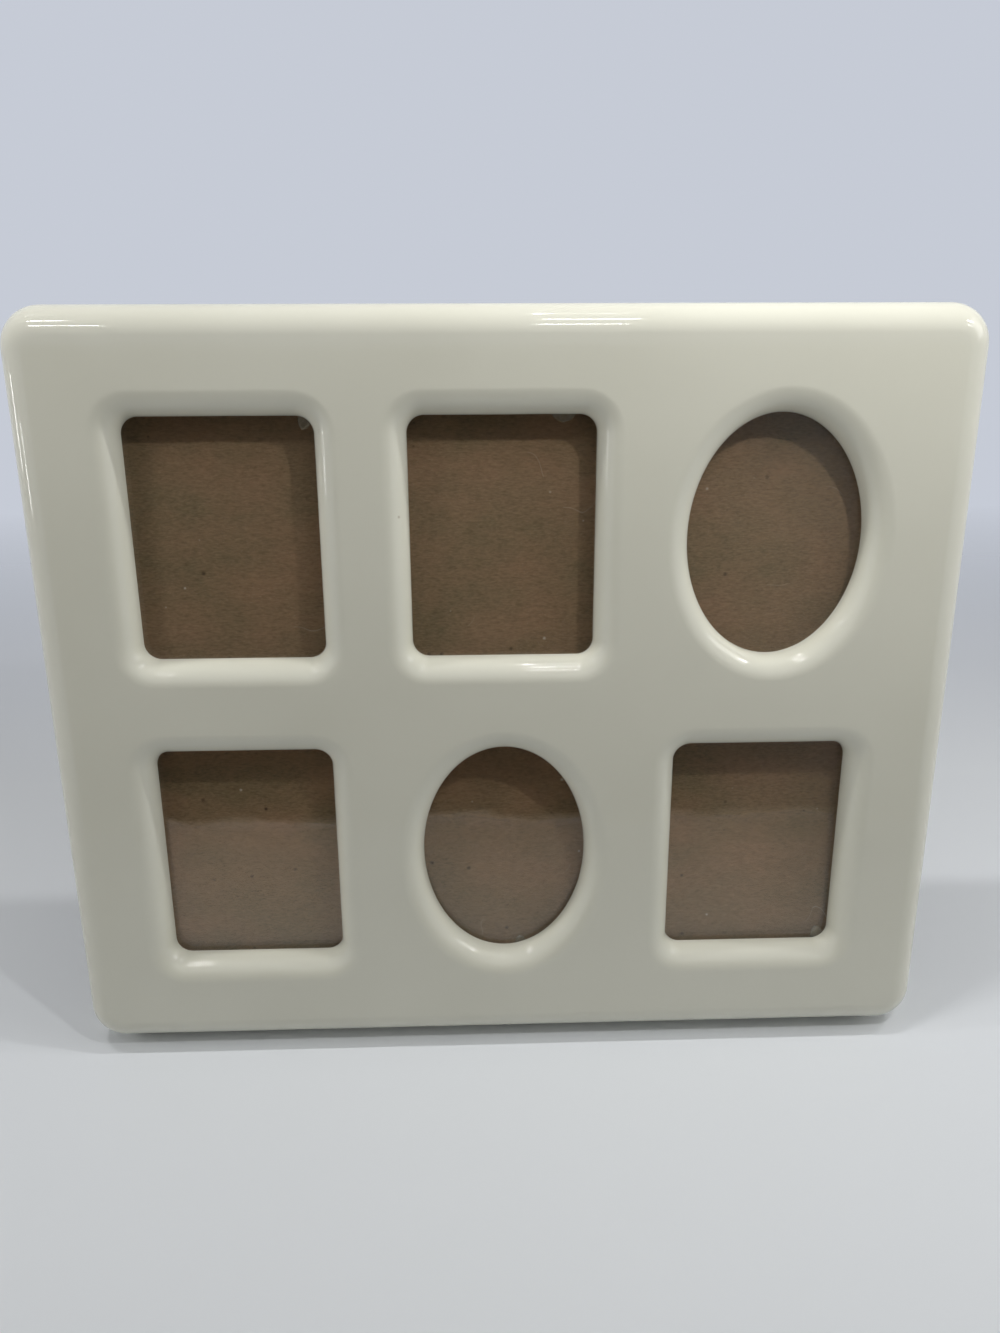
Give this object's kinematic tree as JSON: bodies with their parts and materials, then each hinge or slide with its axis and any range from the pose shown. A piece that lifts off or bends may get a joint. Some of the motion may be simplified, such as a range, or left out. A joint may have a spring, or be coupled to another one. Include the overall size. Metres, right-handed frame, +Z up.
{
  "type": "collage photo frame",
  "caption": "Landscape photo frame with a glazed ceramic front, rectangular and oval windows, a velour back held by turn-buttons and a hinged easel leg.",
  "frame": {"origin": "floor level, under the middle of the footprint of the standing frame", "axes": "+X to the right along the frame's long side as seen from the front, +Y from the windows towards the easel leg, +Z up"},
  "size_m": [0.303, 0.099, 0.2468],
  "materials": {
    "cream_glaze": "smooth gloss glaze",
    "clear_glass": "clear picture glass",
    "clear_glue": "set clear hot-melt glue",
    "brown_chipboard": "raw fibrous chipboard",
    "hardboard": "raw hardboard",
    "black_velour": "short flocked pile",
    "brass": "brass-plated pressed steel"
  },
  "bodies": {
    "frame": {"ceramic_front": "cream_glaze", "glass_pane_top_left": "clear_glass", "glass_pane_top_middle": "clear_glass", "glass_pane_top_right": "clear_glass", "glass_pane_bottom_left": "clear_glass", "glass_pane_bottom_middle": "clear_glass", "glass_pane_bottom_right": "clear_glass", "pane_glue_dabs": "clear_glue", "backing_board": "brown_chipboard", "back_panel": "hardboard", "panel_velour": "black_velour", "rear_ring": "hardboard", "ring_velour": "black_velour", "turn_button_rivets": "brass", "sawtooth_hanger": "brass", "hanger_rivets": "brass", "hinge_panel_leaf": "brass", "hinge_pin": "brass", "panel_leaf_rivets": "brass"},
    "easel": {"easel_leg": "hardboard", "leg_velour": "black_velour", "hinge_leg_leaf": "brass", "leg_leaf_rivets": "brass"},
    "turn_button_top_left": {"turn_button_top_left": "brass"},
    "turn_button_top_right": {"turn_button_top_right": "brass"},
    "turn_button_left": {"turn_button_left": "brass"},
    "turn_button_right": {"turn_button_right": "brass"},
    "turn_button_bottom_left": {"turn_button_bottom_left": "brass"},
    "turn_button_bottom_right": {"turn_button_bottom_right": "brass"}
  },
  "joints": [
    {"name": "easel_hinge", "type": "hinge", "parent": "frame", "child": "easel", "pos_m": [0, 0.01172, 0.15842], "axis": [1, 0, 0], "range_deg": [-28, 0]},
    {"name": "turn_button_top_left_swivel", "type": "hinge", "parent": "frame", "child": "turn_button_top_left", "pos_m": [-0.075, 0.02752, 0.22665], "axis": [0, 0.9659, -0.2588], "range_deg": [-90, 90]},
    {"name": "turn_button_top_right_swivel", "type": "hinge", "parent": "frame", "child": "turn_button_top_right", "pos_m": [0.075, 0.02752, 0.22665], "axis": [0, 0.9659, -0.2588], "range_deg": [-90, 90]},
    {"name": "turn_button_left_swivel", "type": "hinge", "parent": "frame", "child": "turn_button_left", "pos_m": [-0.1335, -0.00056, 0.12185], "axis": [0, 0.9659, -0.2588], "range_deg": [-90, 90]},
    {"name": "turn_button_right_swivel", "type": "hinge", "parent": "frame", "child": "turn_button_right", "pos_m": [0.1335, -0.00056, 0.12185], "axis": [0, 0.9659, -0.2588], "range_deg": [-90, 90]},
    {"name": "turn_button_bottom_left_swivel", "type": "hinge", "parent": "frame", "child": "turn_button_bottom_left", "pos_m": [-0.075, -0.02865, 0.01705], "axis": [0, 0.9659, -0.2588], "range_deg": [-90, 90]},
    {"name": "turn_button_bottom_right_swivel", "type": "hinge", "parent": "frame", "child": "turn_button_bottom_right", "pos_m": [0.075, -0.02865, 0.01705], "axis": [0, 0.9659, -0.2588], "range_deg": [-90, 90]}
  ]
}
